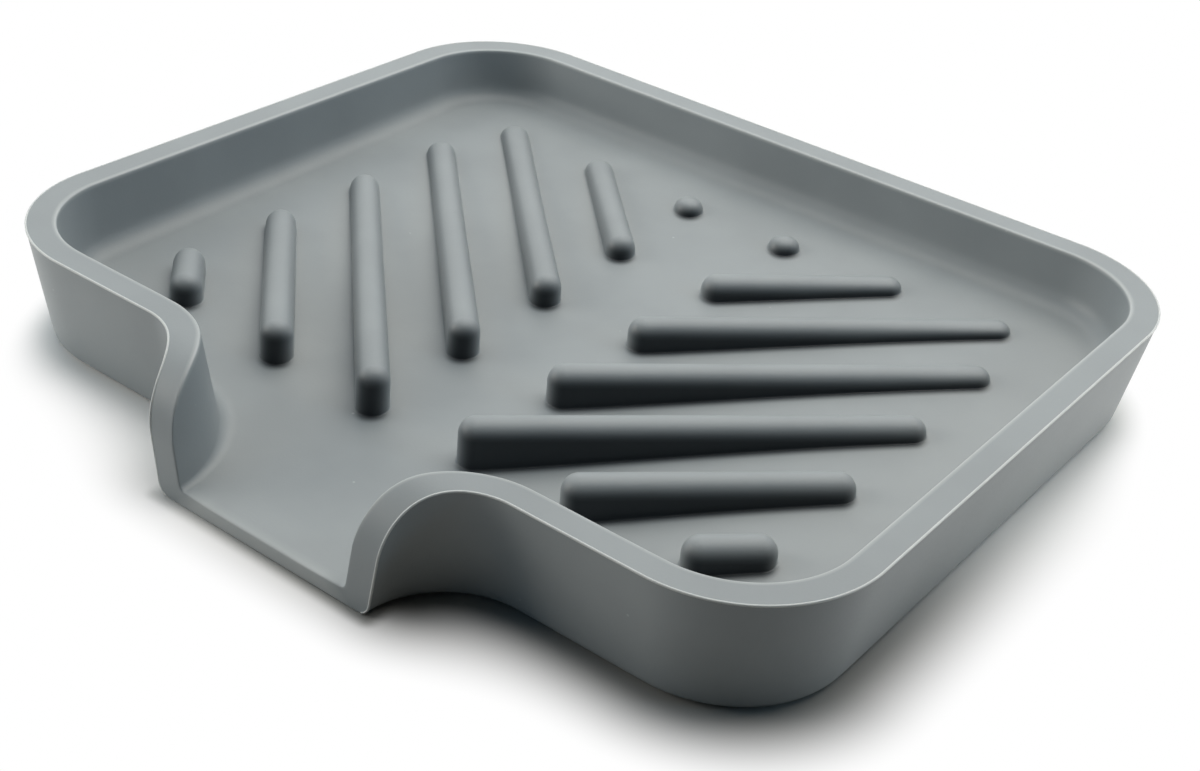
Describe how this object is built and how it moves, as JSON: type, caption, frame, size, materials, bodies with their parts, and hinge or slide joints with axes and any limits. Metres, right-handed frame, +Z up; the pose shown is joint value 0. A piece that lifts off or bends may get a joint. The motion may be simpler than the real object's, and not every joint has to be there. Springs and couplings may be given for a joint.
{
  "type": "soap dish",
  "caption": "Shallow silicone soap tray with leaning walls, a floor that falls to an open pouring spout, and two fans of level ribs that hold the soap above the water.",
  "frame": {"origin": "middle of the flat underside, below the centre of the rim's rectangle", "axes": "+X along the long side, +Y from the spout to the back wall, +Z up"},
  "size_m": [0.13, 0.116, 0.0168],
  "materials": {
    "silicone": "matte"
  },
  "bodies": {
    "root": {"tray_shell": "silicone", "rib_right_1": "silicone", "rib_right_2": "silicone", "rib_right_3": "silicone", "rib_right_4": "silicone", "rib_right_5": "silicone", "rib_right_6": "silicone", "rib_right_7": "silicone", "rib_left_1": "silicone", "rib_left_2": "silicone", "rib_left_3": "silicone", "rib_left_4": "silicone", "rib_left_5": "silicone", "rib_left_6": "silicone", "rib_left_7": "silicone"}
  },
  "joints": []
}
